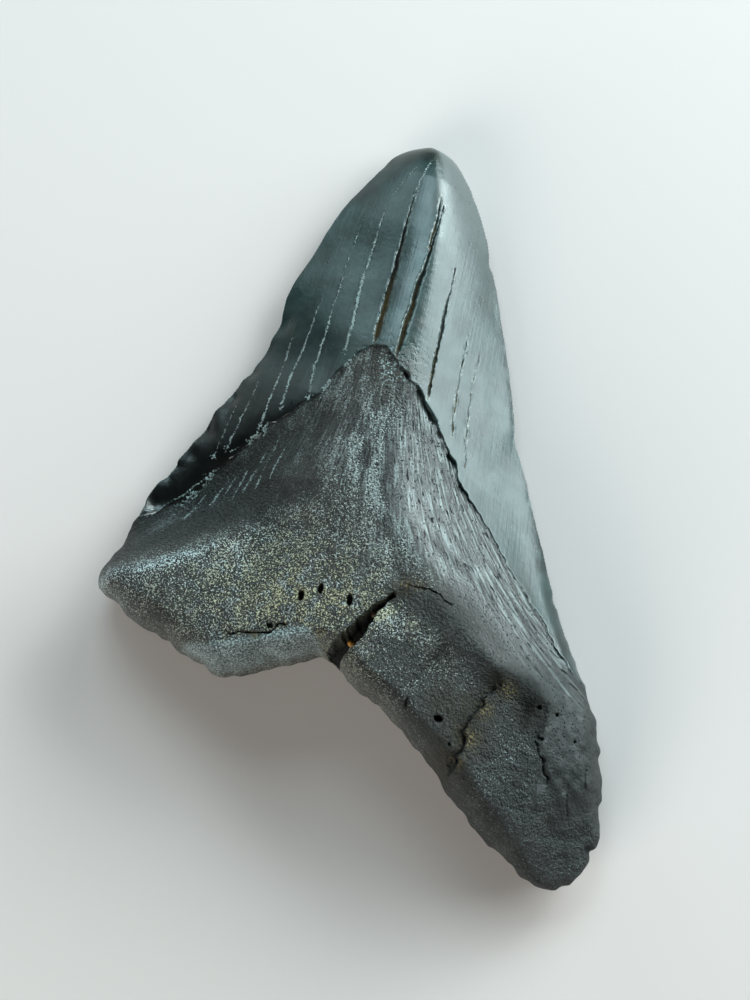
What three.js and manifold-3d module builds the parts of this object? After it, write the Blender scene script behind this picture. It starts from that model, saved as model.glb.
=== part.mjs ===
// Megalodon tooth: one fossil tooth lying on its flat lip-side face, with two sand grains in its cleft.
// Millimetres. +Y runs from the root notch to the tip, +Z out of the domed tongue-side face.

import * as THREE from 'three';
import { mergeVertices } from 'three/addons/utils/BufferGeometryUtils.js';
import Module from 'manifold-3d';

const wasm = await Module();
wasm.setup();

// ---- Driving dimensions ----

// Plan outline: the two cutting edges start at the tip, the base edge at the left lobe.
const LEFT_EDGE = [
  [0, 94.5], [-3, 93.5], [-6, 91.5], [-9.2, 86.9], [-12.7, 81.3], [-15.7, 73.8], [-18.5, 67], [-19.9, 61.7],
  [-20.4, 57.2], [-21.5, 52], [-24.9, 45.8], [-28.2, 39.5], [-30.2, 35], [-33.1, 29.2], [-36.2, 23.8],
  [-37.5, 19], [-39.2, 12.7], [-41.4, 8], [-41.5, 5.5],
];
const RIGHT_EDGE = [
  [0, 94.5], [3.5, 93.5], [6.5, 91], [9.5, 86.5], [13, 79.5], [16.5, 70.5], [20, 60], [23, 50.5],
  [25.5, 42.5], [29, 34.5], [33.1, 24.4], [37, 15.4], [41.5, 7.5], [44.5, 2], [47, -3],
  [49, -11], [50, -19], [49.5, -25], [47, -29.5],
];
const BASE_EDGE = [
  [-41.5, 5.5], [-37.4, 2.6], [-33.2, 0.1], [-28.5, -1.5], [-24.5, -3.5], [-20.5, -5], [-17.5, -6],
  [-14.3, -5.1], [-10.5, -3.5], [-5, -1], [-0.5, 0.5], [5.6, -4], [11, -7], [19.8, -14.2], [25.2, -19.3],
  [30.5, -24], [35.5, -27.5], [40.5, -30.5], [44, -31], [47, -29.5],
];

const CROWN_RIM_HEIGHT = 3.5;
const ROOT_RIM_HEIGHT = 6;
const ROOT_LEFT_ROUND = 5;
const ROOT_RIGHT_ROUND = { crownFoot: 2.5, lobe: 9 };
const ROOT_BASE_ROUND = 4;
const BASE_REACH = 100;

// Domed face: height of its crest above the rim, at shares of the way from tip to base.
const CREST = [
  [0, 0], [0.04, 3.4], [0.1, 6.2], [0.2, 8.8], [0.3, 10.8], [0.4, 12.8], [0.5, 15], [0.6, 17.2],
  [0.7, 18.8], [0.8, 19.6], [1, 19.6],
];

// Where the crest lies between the left edge (0) and the right edge (1).
const CREST_PLACE = [
  [0, 0.56], [0.17, 0.6], [0.26, 0.58], [0.35, 0.55], [0.42, 0.5], [0.53, 0.44], [0.68, 0.46],
  [0.74, 0.54], [0.8, 0.64], [0.9, 0.68], [1, 0.68],
];

// How each side falls from the crest. Round: 0 is a knife edge. Fall and power: the root's slope.
// Neck: where the crown's shape turns into the root's, along the crest and along the rim.
const LEFT_SIDE = {
  crownRound: 0.35,
  tipRound: 1,
  rootFall: 0.42,
  rootPower: 1.8,
  neckAtCrest: [0.5, 0.8],
  neckAtRim: [0.82, 1],
};
const RIGHT_SIDE = {
  crownRound: 0.22,
  tipRound: 0.9,
  rootFall: 0.62,
  rootPower: 1.35,
  neckAtCrest: [0.5, 0.82],
  neckAtRim: [0.5, 0.82],
};
const TIP_SHARE = 0.3;

// Broad swells and hollows of the root: centre, half length and half width, turn in degrees, height.
const SWELLS = [
  { name: 'left lobe tip', x: -40, y: 7, along: 7, across: 7, turn: 0, height: -3 },
  { name: 'left lobe foot', x: -20, y: -2, along: 14, across: 5, turn: -10, height: -1.5 },
  { name: 'central boss', x: 4, y: 17, along: 14, across: 9, turn: 0, height: 1 },
  { name: 'right hollow', x: 17, y: -4, along: 10, across: 6, turn: -38, height: -1.8 },
  { name: 'right flank', x: 30, y: 12, along: 12, across: 6, turn: -50, height: 0.6 },
  { name: 'right lobe dome', x: 36, y: -14, along: 12, across: 8, turn: -55, height: -2 },
  { name: 'right lobe tip', x: 44, y: -26, along: 9, across: 9, turn: 0, height: -6 },
];

// Ridges and grooves along a path: half width, height, and how sharp the crest is (0 round, 1 sharp).
const FOLDS = [
  {
    name: 'left lobe ridge',
    path: [[-44, 3], [-38, 7], [-31.5, 8.8], [-25.5, 12], [-19.5, 16], [-14, 20]],
    width: 3.6,
    height: 3.6,
    sharp: 0.5,
  },
  {
    name: 'left valley',
    path: [[-38, 19], [-30, 22], [-24, 27], [-17, 33], [-10, 38], [-5, 42]],
    width: 4,
    height: -2.2,
    sharp: 0,
  },
  {
    name: 'shelf ridge',
    path: [[9, 12], [17, 11], [20.5, 8.7], [24.3, 5.4], [28, 3], [32, 2.2], [35, 1.4], [37.5, -4]],
    width: 3.2,
    height: 1,
    sharp: 0.5,
  },
  {
    name: 'shelf foot',
    path: [[17, 3], [21, 0.5], [26, -1.5], [31, -3], [36, -5]],
    width: 4.4,
    height: -1.7,
    sharp: 0,
  },
];

// Flat face: how much of the half width stays dead flat, and the shallow hollow behind the neck.
const FLAT_SHARE = 0.5;
const NECK_HOLLOW = { x: 3, y: 27, halfWidth: 17, halfLength: 7, depth: 0.8 };

// Cleft up from the notch: centre x and y, half width. Its floor climbs from the mouth to the end.
const CLEFT = [
  [-1.5, -4, 0.9], [0.6, -1.4, 1.05], [2.5, 0.9, 1.3], [4.6, 3.3, 1.35], [6.1, 6, 1.15],
  [7.2, 7.9, 0.9], [8.6, 9.6, 0.55], [9.7, 10.9, 0.2],
];
const CLEFT_FLOOR = { mouth: 4.5, end: 20.5 };
const ABOVE_DOME = 40;

// Feeding holes of the root.
const PITS = [
  { x: -2.3, y: 9.7, radius: 0.5, floor: 21.4 },
  { x: -5.3, y: 7.9, radius: 0.55, floor: 21.3 },
  { x: 2.8, y: 8.6, radius: 0.65, floor: 21.5 },
  { x: 20.5, y: -7.7, radius: 0.6, floor: 21.2 },
];

const GRAINS = [
  { name: 'lower_sand_grain', x: 4.1, y: 2.5, z: 16.5, radius: 0.65, colour: '#b07a34' },
  { name: 'upper_sand_grain', x: 6.9, y: 7.5, z: 20, radius: 0.42, colour: '#7a6248' },
];

const COLUMNS = 44;
const ROWS = 48;

// ---- Plan: u runs from the left edge to the right edge, t from the tip to the base ----

function edgeCurve(points) {
  const curve = new THREE.SplineCurve(points.map(([x, y]) => new THREE.Vector2(x, y)));
  curve.arcLengthDivisions = 600;
  return curve;
}

const leftEdge = edgeCurve(LEFT_EDGE);
const rightEdge = edgeCurve(RIGHT_EDGE);
const baseEdge = edgeCurve(BASE_EDGE);
const baseChord = new THREE.LineCurve(baseEdge.getPointAt(0), baseEdge.getPointAt(1));

function planPoint(u, t) {
  const left = leftEdge.getPointAt(t);
  const right = rightEdge.getPointAt(t);
  const bow = baseEdge.getPointAt(u).sub(baseChord.getPoint(u)).multiplyScalar(t ** 3);
  return { point: left.clone().lerp(right, u).add(bow), width: left.distanceTo(right) };
}

// ---- Heights ----

const fade = (from, to, value) => THREE.MathUtils.smoothstep(value, from, to);

function tableAt(rows, place) {
  const next = Math.max(1, rows.findIndex(([share]) => share >= place));
  return THREE.MathUtils.mapLinear(place, rows[next - 1][0], rows[next][0], rows[next - 1][1], rows[next][1]);
}

function roundOver(distance, radius) {
  const remaining = 1 - Math.min(distance / radius, 1);
  return Math.sqrt(1 - remaining * remaining);
}

function rootRoundOver(u, t, width) {
  const { crownFoot, lobe } = ROOT_RIGHT_ROUND;
  const right = roundOver((1 - u) * width, THREE.MathUtils.lerp(crownFoot, lobe, fade(0.76, 0.95, t)));
  return roundOver(u * width, ROOT_LEFT_ROUND) * right * roundOver((1 - t) * BASE_REACH, ROOT_BASE_ROUND);
}

function swellHeight(point) {
  return SWELLS.reduce((height, swell) => {
    const turn = THREE.MathUtils.degToRad(swell.turn);
    const offset = point.clone().rotateAround(new THREE.Vector2(swell.x, swell.y), -turn);
    const reach = ((offset.x - swell.x) / swell.along) ** 2 + ((offset.y - swell.y) / swell.across) ** 2;
    return height + swell.height * Math.exp(-reach);
  }, 0);
}

// Distance from a plan path, and the share of its length at the nearest place.
function besidePath(path, point) {
  const place = new THREE.Vector3(point.x, point.y, 0);
  const nodes = path.map(([x, y]) => new THREE.Vector3(x, y, 0));
  const lines = nodes.slice(1).map((end, i) => new THREE.Line3(nodes[i], end));
  const nearest = { away: Infinity, run: 0 };
  let length = 0;
  for (const line of lines) {
    const along = line.closestPointToPointParameter(place, true);
    const away = line.at(along, new THREE.Vector3()).distanceTo(place);
    if (away < nearest.away) {
      nearest.away = away;
      nearest.run = length + along * line.distance();
    }
    length += line.distance();
  }
  return { away: nearest.away, share: nearest.run / length };
}

function foldHeight(point) {
  return FOLDS.reduce((total, { path, width, height, sharp }) => {
    const { away, share } = besidePath(path, point);
    const rounded = Math.exp(-((away / width) ** 2));
    const crested = Math.exp(-Math.sqrt(away ** 2 + 0.4) / width);
    const ends = fade(0, 0.1, share) * (1 - fade(0.88, 1, share));
    return total + height * THREE.MathUtils.lerp(rounded, crested, sharp) * ends;
  }, 0);
}

function rimHeight(t) {
  return THREE.MathUtils.lerp(CROWN_RIM_HEIGHT, ROOT_RIM_HEIGHT, fade(0.72, 0.95, t));
}

// 1 on the crest, 0 at the rim: nearly straight sides under a rounded top.
function roof(across, roundness) {
  const far = Math.hypot(1, roundness) - roundness;
  return 1 - (Math.hypot(across, roundness) - roundness) / far;
}

function domedHeight(u, t, point, width) {
  const crest = tableAt(CREST_PLACE, t);
  const side = u < crest ? LEFT_SIDE : RIGHT_SIDE;
  const across = u < crest ? (crest - u) / crest : (u - crest) / (1 - crest);
  const round = rootRoundOver(u, t, width);
  const roundness = THREE.MathUtils.lerp(side.tipRound, side.crownRound, fade(0, TIP_SHARE, t));
  const crownRise = roof(across, roundness);
  const rootRise = (1 - side.rootFall * across ** side.rootPower) * round;
  const neckStart = THREE.MathUtils.lerp(side.neckAtCrest[0], side.neckAtRim[0], across);
  const neckEnd = THREE.MathUtils.lerp(side.neckAtCrest[1], side.neckAtRim[1], across);
  const rise = THREE.MathUtils.lerp(crownRise, rootRise, fade(neckStart, neckEnd, t));
  const modelled = (swellHeight(point) + foldHeight(point)) * round * fade(0.4, 0.7, t);
  return rimHeight(t) + tableAt(CREST, t) * rise + modelled;
}

function flatHeight(u, t, point, width) {
  const across = Math.max(0, (Math.abs(2 * u - 1) - FLAT_SHARE) / (1 - FLAT_SHARE));
  const sides = THREE.MathUtils.lerp(across ** 2, 1 - rootRoundOver(u, t, width), fade(0.6, 0.85, t));
  const tip = 1 - fade(0, 0.1, t);
  const { x, y, halfWidth, halfLength, depth } = NECK_HOLLOW;
  const away = Math.hypot((point.x - x) / halfWidth, (point.y - y) / halfLength);
  return rimHeight(t) * Math.max(sides, tip) + depth * (1 - fade(0, 1, away));
}

// ---- Solids ----

// One face of the tooth. Both faces share the same rim, so they close on each other.
function sheet(heightAt, facesUp) {
  const plane = new THREE.PlaneGeometry(1, 1, COLUMNS, ROWS);
  const { position, uv } = plane.attributes;
  for (let i = 0; i < position.count; i += 1) {
    const u = uv.getX(i) - (0.45 * Math.sin(2 * Math.PI * uv.getX(i))) / (2 * Math.PI);
    const t = 1 - uv.getY(i) ** 1.25;
    const { point, width } = planPoint(u, t);
    position.setXYZ(i, point.x, point.y, heightAt(u, t, point, width));
  }
  const corners = [...plane.index.array];
  return { positions: position.array, corners: facesUp ? corners : corners.reverse() };
}

function sewn(sheets) {
  const geometry = new THREE.BufferGeometry();
  const offset = sheets[0].positions.length / 3;
  const positions = sheets.flatMap(({ positions: values }) => [...values]);
  geometry.setAttribute('position', new THREE.Float32BufferAttribute(positions, 3));
  geometry.setIndex([...sheets[0].corners, ...sheets[1].corners.map((corner) => corner + offset)]);
  return solid(geometry);
}

// A closed manifold body from a three.js shape, without the collapsed triangles at a pole.
function solid(source) {
  const geometry = source.clone();
  geometry.deleteAttribute('normal');
  geometry.deleteAttribute('uv');
  const merged = mergeVertices(geometry, 1e-4);
  const corners = [];
  for (let i = 0; i < merged.index.count; i += 3) {
    const [a, b, c] = merged.index.array.slice(i, i + 3);
    if (a !== b && b !== c && c !== a) {
      corners.push(a, b, c);
    }
  }
  return new wasm.Manifold(new wasm.Mesh({
    numProp: 3,
    vertProperties: new Float32Array(merged.attributes.position.array),
    triVerts: new Uint32Array(corners),
  }));
}

function cleftCutter() {
  const centres = CLEFT.map(([x, y]) => new THREE.Vector2(x, y));
  const side = (sign) => CLEFT.map(([, , half], i) => {
    const ahead = centres[Math.min(i + 1, centres.length - 1)];
    const along = ahead.clone().sub(centres[Math.max(i - 1, 0)]).setLength(sign * half);
    return new THREE.Vector2(centres[i].x - along.y, centres[i].y + along.x);
  });
  const outline = new THREE.Shape([...side(-1), ...side(1).reverse()]);
  const cutter = new THREE.ExtrudeGeometry(outline, { depth: ABOVE_DOME, bevelEnabled: false });
  const run = centres.at(-1).clone().sub(centres[0]);
  const { position } = cutter.attributes;
  for (let i = 0; i < position.count; i += 1) {
    const from = new THREE.Vector2(position.getX(i), position.getY(i)).sub(centres[0]);
    const floor = THREE.MathUtils.lerp(CLEFT_FLOOR.mouth, CLEFT_FLOOR.end, from.dot(run) / run.lengthSq());
    position.setZ(i, Math.max(position.getZ(i), floor));
  }
  return solid(cutter);
}

function pitCutter({ x, y, radius, floor }) {
  const drill = new THREE.CylinderGeometry(radius, 0.7 * radius, ABOVE_DOME - floor, 10);
  drill.rotateX(Math.PI / 2);
  drill.translate(x, y, (ABOVE_DOME + floor) / 2);
  return solid(drill);
}

function bodyGeometry(manifold) {
  const { vertProperties, triVerts } = manifold.getMesh();
  const geometry = new THREE.BufferGeometry();
  geometry.setAttribute('position', new THREE.BufferAttribute(new Float32Array(vertProperties), 3));
  geometry.setIndex(new THREE.BufferAttribute(new Uint32Array(triVerts), 1));
  geometry.computeVertexNormals();
  return geometry;
}

function grainGeometry({ x, y, z, radius }) {
  const grain = new THREE.IcosahedronGeometry(radius, 1);
  grain.scale(1, 0.85, 0.9);
  grain.translate(x, y, z);
  return grain;
}

// ---- Assembly, moved so that the origin is under the middle of the tooth ----

const whole = sewn([sheet(domedHeight, true), sheet(flatHeight, false)]);
const carved = [cleftCutter(), ...PITS.map(pitCutter)].reduce((body, cutter) => body.subtract(cutter), whole);

const { min, max } = carved.boundingBox();
const centre = [-(min[0] + max[0]) / 2, -(min[1] + max[1]) / 2, -min[2]];

const group = new THREE.Group();
group.name = 'megalodon_tooth';

const toothStone = new THREE.MeshStandardMaterial({ color: '#262b2b', roughness: 0.45 });
const tooth = new THREE.Mesh(bodyGeometry(carved), toothStone);
tooth.name = 'tooth';
tooth.geometry.translate(...centre);
group.add(tooth);

for (const grain of GRAINS) {
  const quartz = new THREE.MeshStandardMaterial({ color: grain.colour, roughness: 0.35 });
  const mesh = new THREE.Mesh(grainGeometry(grain), quartz);
  mesh.name = grain.name;
  mesh.geometry.translate(...centre);
  group.add(mesh);
}

export default group;
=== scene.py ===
"""Megalodon tooth: a black fossil tooth with a cracked crown and a grainy, cleft root, on its flat face.

Shapes are worked in millimetres on the tooth's own plan, +Y from the root notch to the tip,
and moved onto the frame at the end.
"""

import bmesh
import bpy
import numpy as np
from mathutils import Matrix, Vector


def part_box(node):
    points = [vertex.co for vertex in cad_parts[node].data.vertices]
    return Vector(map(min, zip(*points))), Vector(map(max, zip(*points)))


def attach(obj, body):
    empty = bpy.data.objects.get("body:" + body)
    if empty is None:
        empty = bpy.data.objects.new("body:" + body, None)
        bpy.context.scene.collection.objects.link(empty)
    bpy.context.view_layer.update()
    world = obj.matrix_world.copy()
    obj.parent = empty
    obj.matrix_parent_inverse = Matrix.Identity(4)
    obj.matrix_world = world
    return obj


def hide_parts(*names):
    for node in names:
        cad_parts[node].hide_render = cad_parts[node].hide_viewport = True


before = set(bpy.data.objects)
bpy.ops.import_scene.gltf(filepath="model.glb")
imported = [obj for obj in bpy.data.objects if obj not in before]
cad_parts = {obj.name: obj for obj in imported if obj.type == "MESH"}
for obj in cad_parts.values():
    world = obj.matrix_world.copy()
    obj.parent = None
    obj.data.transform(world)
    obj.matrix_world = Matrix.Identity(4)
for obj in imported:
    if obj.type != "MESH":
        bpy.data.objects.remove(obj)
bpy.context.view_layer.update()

# ---------------------------------------------------------------- plan outline

LEFT_EDGE = [
    (0, 94.5), (-3, 93.5), (-6, 91.5), (-9.2, 86.9), (-12.7, 81.3), (-15.7, 73.8), (-18.5, 67), (-19.9, 61.7),
    (-20.4, 57.2), (-21.5, 52), (-24.9, 45.8), (-28.2, 39.5), (-30.2, 35), (-33.1, 29.2), (-36.2, 23.8),
    (-37.5, 19), (-39.2, 12.7), (-41.4, 8), (-41.5, 5.5),
]
RIGHT_EDGE = [
    (0, 94.5), (3.5, 93.5), (6.5, 91), (9.5, 86.5), (13, 79.5), (16.5, 70.5), (20, 60), (23, 50.5),
    (25.5, 42.5), (29, 34.5), (33.1, 24.4), (37, 15.4), (41.5, 7.5), (44.5, 2), (47, -3),
    (49, -11), (50, -19), (49.5, -25), (47, -29.5),
]
BASE_EDGE = [
    (-41.5, 5.5), (-37.4, 2.6), (-33.2, 0.1), (-28.5, -1.5), (-24.5, -3.5), (-20.5, -5), (-17.5, -6),
    (-14.3, -5.1), (-10.5, -3.5), (-5, -1), (-0.5, 0.5), (5.6, -4), (11, -7), (19.8, -14.2), (25.2, -19.3),
    (30.5, -24), (35.5, -27.5), (40.5, -30.5), (44, -31), (47, -29.5),
]


class EdgeCurve:
    """A smooth plan curve through points, read by its share of length."""

    def __init__(self, points):
        points = np.array([points[0], *points, points[-1]], float)
        before, start, end, after = points[:-3], points[1:-2], points[2:-1], points[3:]
        leave, arrive = (end - before) / 2, (after - start) / 2
        steps = np.linspace(0, 1, 60, endpoint=False)[:, None, None]
        path = (
            (2 * start - 2 * end + leave + arrive) * steps**3
            + (3 * end - 3 * start - 2 * leave - arrive) * steps**2
            + leave * steps
            + start
        )
        self.path = np.vstack([path.transpose(1, 0, 2).reshape(-1, 2), points[-1]])
        lengths = np.linalg.norm(np.diff(self.path, axis=0), axis=1)
        self.run = np.concatenate([[0], np.cumsum(lengths)])
        self.run /= self.run[-1]

    def at(self, share):
        columns = [np.interp(share, self.run, self.path[:, axis]) for axis in (0, 1)]
        return np.stack(columns, axis=-1)


left_edge, right_edge, base_edge = EdgeCurve(LEFT_EDGE), EdgeCurve(RIGHT_EDGE), EdgeCurve(BASE_EDGE)
outline = np.vstack([left_edge.path, right_edge.path, base_edge.path])
plan_centre = (outline.min(0) + outline.max(0)) / 2
BASE_REACH = 100

# ---------------------------------------------------------------- height table of the body

CROWN_RIM, ROOT_RIM = 3.5, 6
ROOT_LEFT_ROUND, ROOT_BASE_ROUND = 5, 4
ROOT_RIGHT_ROUND = 2.5, 9  # beside the crown's foot and at the lobe
CREST = [
    (0, 0), (0.04, 3.4), (0.1, 6.2), (0.2, 8.8), (0.3, 10.8), (0.4, 12.8), (0.5, 15), (0.6, 17.2),
    (0.7, 18.8), (0.8, 19.6), (1, 19.6),
]
CREST_PLACE = [
    (0, 0.56), (0.17, 0.6), (0.26, 0.58), (0.35, 0.55), (0.42, 0.5), (0.53, 0.44), (0.68, 0.46),
    (0.74, 0.54), (0.8, 0.64), (0.9, 0.68), (1, 0.68),
]
# How rounded the crest is on each side of the crown (0 a knife edge).
LEFT_ROUND, RIGHT_ROUND = 0.35, 0.22

# Centre x and y, half length, half width, turn in degrees, height.
SWELLS = {
    "left lobe tip": (-40, 7, 7, 7, 0, -3.0),
    "left lobe foot": (-20, -2, 14, 5, -10, -1.5),
    "central boss": (4, 17, 14, 9, 0, 1.0),
    "right hollow": (17, -4, 10, 6, -38, -1.8),
    "right flank": (30, 12, 12, 6, -50, 0.6),
    "right lobe dome": (36, -14, 12, 8, -55, -2.0),
    "right lobe tip": (44, -26, 9, 9, 0, -6.0),
}
SHELF_RIDGE = [
    (9, 12), (13, 12), (17, 11), (20.5, 8.7), (24.3, 5.4), (28, 3), (32, 2.2), (35, 1.4),
    (37, -1), (37.5, -4),
]
LOBE_RIDGE = [(-44, 3), (-38, 7), (-31.5, 8.8), (-25.5, 12), (-19.5, 16), (-14, 20)]
# Path, width of the fold, height, and how sharp its crest is (0 round, 1 sharp).
FOLDS = {
    "left lobe ridge": (LOBE_RIDGE, 3.6, 3.6, 0.5),
    "left valley": ([(-38, 19), (-30, 22), (-24, 27), (-17, 33), (-10, 38), (-5, 42)], 4.0, -2.2, 0),
    "shelf ridge": (SHELF_RIDGE, 3.2, 1.0, 0.5),
    "shelf foot": ([(17, 3), (21, 0.5), (26, -1.5), (31, -3), (36, -5)], 4.4, -1.7, 0),
    "cleft lip": ([(3.5, -2.6), (6, 0), (8, 4), (10, 8.5)], 1.8, 0.9, 0),
    "base band": ([(-20, -3.4), (-16, -2.6), (-11, -1), (-6, 1.2)], 1.6, 0.9, 0),
}

# ---------------------------------------------------------------- surface marks

ENAMEL_EDGE = [
    (-60, 12), (-37.5, 18.5), (-35, 19.5), (-29.5, 24), (-27, 27), (-24.5, 30), (-22, 33), (-20, 35.5),
    (-17.5, 38), (-14, 40), (-11.5, 42), (-9.5, 45), (-7.5, 48), (-5.5, 50.5), (-3.8, 52.5), (-1.8, 54),
    (0.3, 53.6), (2.4, 51.3), (4.2, 49.5), (7.1, 47.3), (8.8, 45), (10.8, 42.6), (12.8, 39.8), (14.6, 37),
    (16.6, 33.5), (19.6, 30), (22.9, 26.5), (26.8, 21.4), (29.8, 18.2), (32.5, 15), (35, 12.5), (37.2, 9),
    (40.4, 5.8), (42.2, 4.3), (60, -8),
]
# Place across, and how far the streaked neck reaches below the enamel there.
NECK_REACH = [(-40, 5), (-20, 9), (-8, 18), (4, 27), (12, 21), (20, 11), (35, 7), (45, 4)]
BACK_ENAMEL_EDGE = [(-60, 12), (-37.5, 18.5), (-22, 24), (-6, 26.5), (8, 25.5), (24, 17), (42, 4.5), (60, -8)]

# Path, half width, depth.
OPEN_CRACKS = {
    "crest": ([(-0.4, 84.4), (-0.8, 80.2), (-1, 76.6), (-1.2, 69), (-1.6, 62), (-2.1, 54)], 0.22, 0.7),
    "crest start": ([(4.2, 84), (4.3, 79), (3.9, 73)], 0.06, 0.3),
    "gold": ([(4.9, 82), (4.6, 77), (3.9, 70), (3.3, 66), (3.1, 62), (2.6, 58.5), (2.2, 52)], 0.18, 0.7),
    "right": ([(8.9, 71), (8.9, 67), (8.7, 62.2), (8.7, 56.7), (8.6, 52.4), (8.7, 46)], 0.05, 0.4),
    "right short": ([(13.3, 60), (13.2, 54), (13.4, 45), (13.9, 41)], -0.02, 0.1),
    "right outer": ([(15.8, 57), (15.6, 50), (16, 44), (17, 36)], -0.03, 0.08),
}
PALE_CRACKS = {
    "long": (
        [
            (-1.3, 88.8), (-3.4, 85.5), (-5.2, 81.1), (-5.7, 76.4), (-6.1, 70.4), (-6.7, 65.5),
            (-6.6, 57.4), (-7, 52),
        ],
        0.14,
    ),
    "crest top": ([(1.2, 90.8), (0.5, 88.4), (-0.1, 86.2), (-0.5, 83.6)], 0.1),
    "second": (
        [(-9.3, 75.5), (-9.8, 72), (-10.2, 68), (-10.8, 61), (-11.2, 55), (-11.8, 49), (-11.6, 43)],
        0.08,
    ),
    "third": ([(-13.2, 63), (-13.8, 58.5), (-14.8, 52), (-15.9, 46), (-16.1, 41)], 0.1),
    "fourth": ([(-17.2, 55), (-17.6, 49), (-18.5, 43), (-19.2, 37)], 0.1),
    "fifth": ([(-21.3, 47), (-22.5, 41), (-24.5, 33)], 0.07),
    "sixth": ([(-24.5, 41.5), (-25.6, 36), (-26.6, 31)], 0.05),
    "corner": ([(-37.2, 19.6), (-33.5, 21.8), (-30, 24.6), (-27.4, 27.4)], 0.08),
}
# Short pale scratches that carry on from the crown's cracks over the neck.
NECK_SCRATCHES = {
    "outer scratch": ([(-26.2, 25.6), (-27.8, 22.2), (-29.4, 19.4)], 0.05),
    "second scratch": ([(-23, 27.8), (-24.2, 25), (-25.4, 22.6)], 0.07),
    "third scratch": ([(-21.3, 29.6), (-22.4, 26.8), (-23.2, 24.2)], 0.08),
    "fourth scratch": ([(-19.4, 31), (-20.6, 27), (-21.5, 23.4)], 0.08),
    "fifth scratch": ([(-17.2, 33), (-18.7, 28.6), (-19.9, 24.8)], 0.09),
    "sixth scratch": ([(-15.5, 35.3), (-16.7, 30.4), (-17.7, 25.7)], 0.07),
    "seventh scratch": ([(-13.8, 34.2), (-14.8, 30.8), (-15.5, 27.7)], 0.05),
    "centre scratch": ([(-1.2, 33), (-1.9, 28), (-1.6, 22), (-0.8, 15)], 0.05),
    "ridge scratch": ([(-0.4, 40), (-1.6, 35), (-2.4, 29.5), (-2.8, 25)], 0.03),
}
CLEFT_PATH = [
    (-1.5, -4), (0.6, -1.4), (2.5, 0.9), (4.6, 3.3), (6.1, 6), (7.2, 7.9), (8.6, 9.6), (9.7, 10.9),
]
CLEFT_HALF = [0.9, 1.05, 1.3, 1.35, 1.15, 0.9, 0.55, 0.2]
CLEFT_FLOOR = 4.5, 20.5  # heights at its mouth and at its closed end
STEP_PATH = [
    (30.6, 0.8), (29, -0.8), (27, -3.2), (26.4, -5.4), (25.2, -8.2), (25.2, -11), (24.6, -13.5),
    (23.4, -16.4),
]
ROOT_CRACKS = {
    "cleft end": (
        [(9.7, 10.9), (10.8, 12.1), (12.2, 12.9), (15.4, 12.7), (18, 11.8), (19.9, 10.5)],
        0.05,
        0.7,
    ),
    "stepped": (STEP_PATH, 0.1, 1.2),
    "lobe": ([(37.6, -4.1), (36.8, -7.3), (37.7, -9.6), (38.9, -11.9), (40.2, -14.1)], 0.03, 0.5),
    "lobe side": ([(36.2, -6.2), (37.4, -7.4), (38.2, -7.4)], 0.08, 0.5),
    "ledge": ([(-19, -1.4), (-16.9, -0.2), (-11.7, 0.4), (-9.4, 1.6), (-6.5, 3)], 0.08, 0.7),
    "lobe outer": ([(45.5, -7), (45.8, -11), (46.6, -14)], 0.02, 0.35),
    "lobe far": ([(43, -12), (43.8, -16.5), (44.6, -19)], 0.0, 0.3),
}
# Centre x and y, half length along y, half width, depth.
PITS = [
    (-2.3, 9.7, 0.75, 0.36, 2.6), (-5.3, 7.9, 0.8, 0.38, 2.4), (2.8, 8.6, 0.95, 0.5, 3),
    (20.5, -7.7, 0.5, 0.7, 2.2), (36.5, -2.3, 0.35, 0.35, 1.1), (39.6, -2.8, 0.3, 0.3, 0.8),
    (43.2, -6.5, 0.3, 0.25, 0.7), (15, -6, 1.1, 0.3, 0.7), (23, -11.5, 0.4, 0.3, 0.8),
    (-9.4, 2.2, 0.35, 0.5, 1),
]
# Centre x and y, radius, how far the edge is pushed in.
CHIPS = [
    (-19.8, 57.5, 2.2, 0.5), (-23.4, 47.6, 1.2, 0.35), (-25.6, 42.6, 1, 0.35), (-28.6, 36, 1.4, 0.35),
    (-30.6, 31.6, 1, 0.35), (-34, 26.4, 1.3, 0.3), (14.8, 75, 1.3, 0.4), (25.2, 44, 2.6, 0.4),
    (43.3, 4.2, 0.9, -0.4), (45.8, 0.2, 1, 0.5), (49.3, -23.6, 0.9, 0.9), (-37.5, 3.4, 1.2, 0.5),
    (-22.5, -4.4, 1.2, 0.4), (46, -30.4, 1.2, 0.5),
]

# Centre x and y, radius, and an amount: how deep the painted shade of a shade spot, how brown a stain.
PAINTED_SHADE_SPOTS = [
    (12.5, 0.5, 4.5, 0.6), (19.5, -7, 5, 0.5), (25.6, -6.4, 4, 0.7), (35.9, 2.8, 6, 0.8),
    (32, 9, 5, 0.35),
]
STAINS = [
    (12, 13, 2.4, 0.9), (10, 11.5, 1.8, 0.9), (17.5, 12, 1.6, 0.5), (26, -5, 4, 0.95),
    (25, -9.5, 4, 1), (28.8, -0.8, 3, 0.9), (23.6, -13.5, 3.4, 0.9), (21, -5, 4.5, 0.7),
    (34, -3.5, 3, 0.5), (-11.7, 0.3, 1.2, 0.5), (3, 16, 6, 0.1), (-28.4, 1.3, 3, 0.25),
]
# Centre x and y, radius.
GOLD_SPOTS = [
    (27.8, -4.6, 1.2), (26, -10, 1.4), (31, -0.6, 1.2), (24.6, -14, 1), (11.2, 12.6, 0.9),
    (-11.7, 0.2, 0.6), (13.6, 12.9, 0.7),
]


def ease(start, end, value):
    """0 before start, 1 after end, smooth between; start may be the larger."""
    share = np.clip((value - start) / (end - start), 0, 1)
    return share * share * (3 - 2 * share)


def mix(a, b, share):
    return a + (b - a) * share


def table(rows, value):
    rows = np.array(rows, float)
    return np.interp(value, rows[:, 0], rows[:, 1])


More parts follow.
